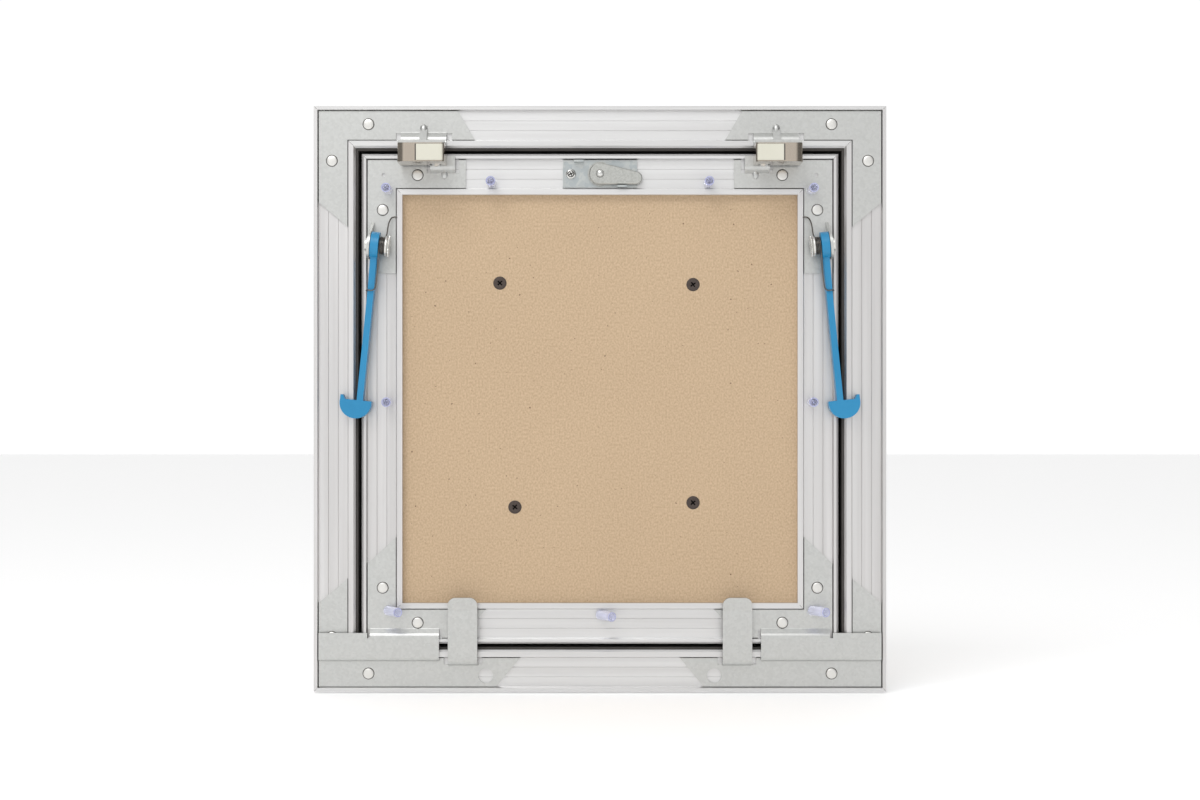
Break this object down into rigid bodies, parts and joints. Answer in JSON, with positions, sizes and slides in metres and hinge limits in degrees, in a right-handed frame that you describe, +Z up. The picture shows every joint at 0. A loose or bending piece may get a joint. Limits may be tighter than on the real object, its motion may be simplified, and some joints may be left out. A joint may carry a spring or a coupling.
{
  "type": "fire-rated access panel",
  "caption": "Square aluminium fire-rated access panel seen from behind: mitred frame, gypsum-filled leaf, touch latches, cam lock and spring-loaded safety arms.",
  "frame": {"origin": "centre of the frame's opening, in the plane where the frame's flange lies on the back of the wall board", "axes": "+Z up, +Y towards the room, +X to the right as seen from the rear, so the pictured rear faces -Y"},
  "size_m": [0.3502, 0.0572, 0.3582],
  "materials": {
    "aluminium_rails": "mill finish, matt",
    "galvanised_plates": "galvanised, dull",
    "galvanised_rivets": "satin",
    "fire_strip": "graphite, matt",
    "smoke_seal": "matt",
    "gypsum_board": "kraft paper face, matt",
    "phosphated_screws": "black phosphate",
    "clear_tubes": "clear, glossy",
    "zinc_lock": "zinc plated",
    "zinc_cam": "zinc plated, satin",
    "nickel_latch": "nickel plated",
    "cream_cover": "satin",
    "black_plunger": "matt",
    "spring_wire": "bright wire",
    "plated_pins": "polished",
    "blue_arm": "satin"
  },
  "bodies": {
    "frame": {"frame_fire_strips": "fire_strip", "frame_plate_bottom_left": "galvanised_plates", "frame_plate_bottom_right": "galvanised_plates", "frame_plate_rivets": "galvanised_rivets", "frame_plate_top_left": "galvanised_plates", "frame_plate_top_right": "galvanised_plates", "frame_rail_bottom": "aluminium_rails", "frame_rail_left": "aluminium_rails", "frame_rail_right": "aluminium_rails", "frame_rail_top": "aluminium_rails", "latch_body_left": "nickel_latch", "latch_body_right": "nickel_latch", "latch_cover_left": "cream_cover", "latch_cover_right": "cream_cover", "latch_rivets_left": "galvanised_rivets", "latch_rivets_right": "galvanised_rivets", "latch_spring_left": "spring_wire", "latch_spring_right": "spring_wire"},
    "leaf": {"arm_pin_left": "plated_pins", "arm_pin_right": "plated_pins", "arm_spring_left": "spring_wire", "arm_spring_right": "spring_wire", "board_screws": "phosphated_screws", "face_screws": "phosphated_screws", "front_board": "gypsum_board", "latch_striker_left": "plated_pins", "latch_striker_right": "plated_pins", "leaf_plate_bottom_left": "galvanised_plates", "leaf_plate_bottom_right": "galvanised_plates", "leaf_plate_rivets": "galvanised_rivets", "leaf_plate_top_left": "galvanised_plates", "leaf_plate_top_right": "galvanised_plates", "leaf_rail_bottom": "aluminium_rails", "leaf_rail_left": "aluminium_rails", "leaf_rail_right": "aluminium_rails", "leaf_rail_top": "aluminium_rails", "leaf_smoke_seal": "smoke_seal", "lock_barrel": "zinc_cam", "lock_plate": "zinc_lock", "lock_plate_screws": "zinc_lock", "rear_board": "gypsum_board", "screw_tip_tubes": "clear_tubes"},
    "cam": {"cam_lever": "zinc_cam", "cam_washer": "zinc_cam", "lock_spindle": "zinc_cam"},
    "left_arm": {"safety_arm_left": "blue_arm"},
    "right_arm": {"safety_arm_right": "blue_arm"},
    "left_plunger": {"latch_plunger_left": "black_plunger"},
    "right_plunger": {"latch_plunger_right": "black_plunger"}
  },
  "joints": [
    {"name": "leaf_swing", "type": "hinge", "parent": "frame", "child": "leaf", "pos_m": [0, 0.025, -0.1365], "axis": [-1, 0, 0], "range_deg": [0, 24.5]},
    {"name": "cam_turn", "type": "hinge", "parent": "leaf", "child": "cam", "pos_m": [0, 0, 0.1376], "axis": [0, 1, 0], "range_deg": [-123, 0]},
    {"name": "left_arm_swing", "type": "hinge", "parent": "leaf", "child": "left_arm", "pos_m": [-0.1366, -0.0135, 0.0934], "axis": [-0.9951, 0, 0.0993], "range_deg": [0, 65.5], "deforming": ["arm_spring_left"]},
    {"name": "right_arm_swing", "type": "hinge", "parent": "leaf", "child": "right_arm", "pos_m": [0.1366, -0.0135, 0.0934], "axis": [-0.9951, 0, -0.0993], "range_deg": [0, 65.5], "deforming": ["arm_spring_right"]},
    {"name": "left_plunger_travel", "type": "slide", "parent": "frame", "child": "left_plunger", "axis": [0, -1, 0], "range_m": [0, 0.003], "stiffness_N_per_m": 300, "springref_m": -0.005, "deforming": ["latch_spring_left"]},
    {"name": "right_plunger_travel", "type": "slide", "parent": "frame", "child": "right_plunger", "axis": [0, -1, 0], "range_m": [0, 0.003], "stiffness_N_per_m": 300, "springref_m": -0.005, "deforming": ["latch_spring_right"]}
  ],
  "couplings": [
    {"joint": "left_arm_swing", "follows": "leaf_swing", "ratio": 2.67},
    {"joint": "right_arm_swing", "follows": "leaf_swing", "ratio": 2.67}
  ]
}
